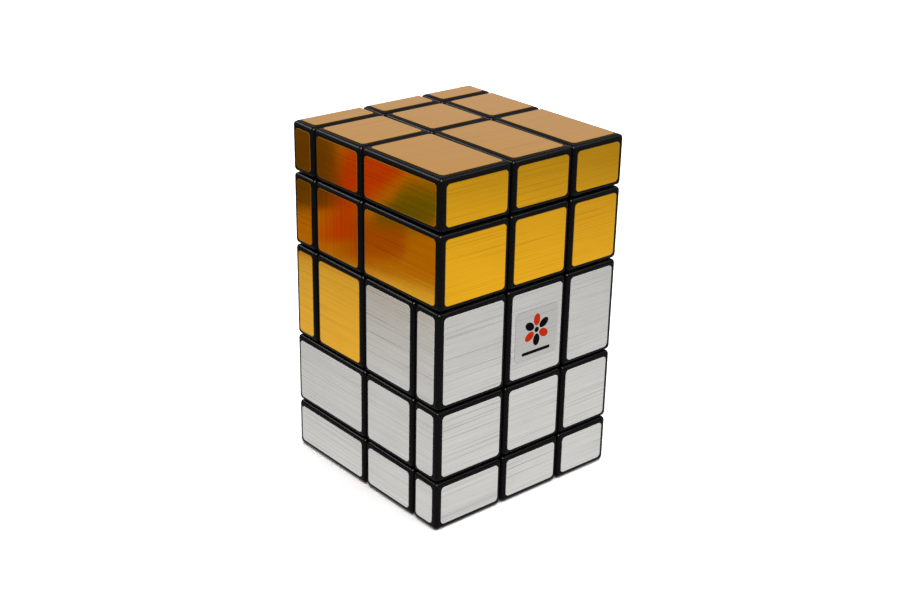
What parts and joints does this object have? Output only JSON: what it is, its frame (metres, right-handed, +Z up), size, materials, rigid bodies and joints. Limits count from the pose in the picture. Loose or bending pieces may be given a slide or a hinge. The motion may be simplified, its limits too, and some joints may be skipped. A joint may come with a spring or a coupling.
{
  "type": "joined mirror block cube puzzle",
  "caption": "Twisty puzzle of two mirror block cubes, gold above silver, that share their middle layer; all blocks differ in size and every layer above and below turns.",
  "frame": {"origin": "centre of the base, on the surface the puzzle stands on", "axes": "+Z up along the tower, from the silver cube to the gold one; -Y is the all-silver face of the joined layer that carries the label; +X is the right-hand side seen from there"},
  "size_m": [0.057, 0.057, 0.089],
  "materials": {
    "black_plastic": "satin",
    "grey_plastic": "matte",
    "steel": "satin",
    "gold_foil": "brushed",
    "silver_foil": "brushed",
    "label_film": "satin"
  },
  "bodies": {
    "joined_layer": {"gold_joined_corner_back_left": "black_plastic", "gold_joined_edge_back": "black_plastic", "gold_joined_corner_back_right": "black_plastic", "gold_joined_edge_left": "black_plastic", "gold_joined_centre": "black_plastic", "gold_joined_edge_right": "black_plastic", "silver_joined_edge_left": "black_plastic", "silver_joined_centre": "black_plastic", "silver_joined_edge_right": "black_plastic", "silver_joined_corner_front_left": "black_plastic", "silver_joined_edge_front": "black_plastic", "silver_joined_corner_front_right": "black_plastic"},
    "gold_middle_layer": {"gold_middle_edge_front_left": "black_plastic", "gold_middle_edge_front_right": "black_plastic", "gold_middle_edge_back_left": "black_plastic", "gold_middle_edge_back_right": "black_plastic", "gold_front_centre": "black_plastic", "gold_back_centre": "black_plastic", "gold_left_centre": "black_plastic", "gold_right_centre": "black_plastic", "gold_core": "grey_plastic", "gold_screw_top": "steel", "gold_screw_bottom": "steel", "gold_screw_front": "steel", "gold_screw_back": "steel", "gold_screw_left": "steel", "gold_screw_right": "steel"},
    "gold_outer_layer": {"gold_top_corner_front_left": "black_plastic", "gold_top_corner_front_right": "black_plastic", "gold_top_corner_back_left": "black_plastic", "gold_top_corner_back_right": "black_plastic", "gold_top_edge_front": "black_plastic", "gold_top_edge_back": "black_plastic", "gold_top_edge_left": "black_plastic", "gold_top_edge_right": "black_plastic", "gold_top_centre": "black_plastic"},
    "silver_middle_layer": {"silver_middle_edge_front_left": "black_plastic", "silver_middle_edge_front_right": "black_plastic", "silver_middle_edge_back_left": "black_plastic", "silver_middle_edge_back_right": "black_plastic", "silver_front_centre": "black_plastic", "silver_back_centre": "black_plastic", "silver_left_centre": "black_plastic", "silver_right_centre": "black_plastic", "silver_core": "grey_plastic", "silver_screw_top": "steel", "silver_screw_bottom": "steel", "silver_screw_front": "steel", "silver_screw_back": "steel", "silver_screw_left": "steel", "silver_screw_right": "steel"},
    "silver_outer_layer": {"silver_bottom_corner_front_left": "black_plastic", "silver_bottom_corner_front_right": "black_plastic", "silver_bottom_corner_back_left": "black_plastic", "silver_bottom_corner_back_right": "black_plastic", "silver_bottom_edge_front": "black_plastic", "silver_bottom_edge_back": "black_plastic", "silver_bottom_edge_left": "black_plastic", "silver_bottom_edge_right": "black_plastic", "silver_bottom_centre": "black_plastic"}
  },
  "joints": [
    {"name": "gold_inner_turn", "type": "hinge", "parent": "joined_layer", "child": "gold_middle_layer", "pos_m": [0.002, 0.01, 0.0665], "axis": [0, 0, 1], "continuous": true},
    {"name": "gold_outer_turn", "type": "hinge", "parent": "gold_middle_layer", "child": "gold_outer_layer", "pos_m": [0.002, 0.01, 0.0665], "axis": [0, 0, 1], "continuous": true},
    {"name": "silver_inner_turn", "type": "hinge", "parent": "joined_layer", "child": "silver_middle_layer", "pos_m": [0.002, -0.01, 0.0225], "axis": [0, 0, 1], "continuous": true},
    {"name": "silver_outer_turn", "type": "hinge", "parent": "silver_middle_layer", "child": "silver_outer_layer", "pos_m": [0.002, -0.01, 0.0225], "axis": [0, 0, 1], "continuous": true}
  ]
}
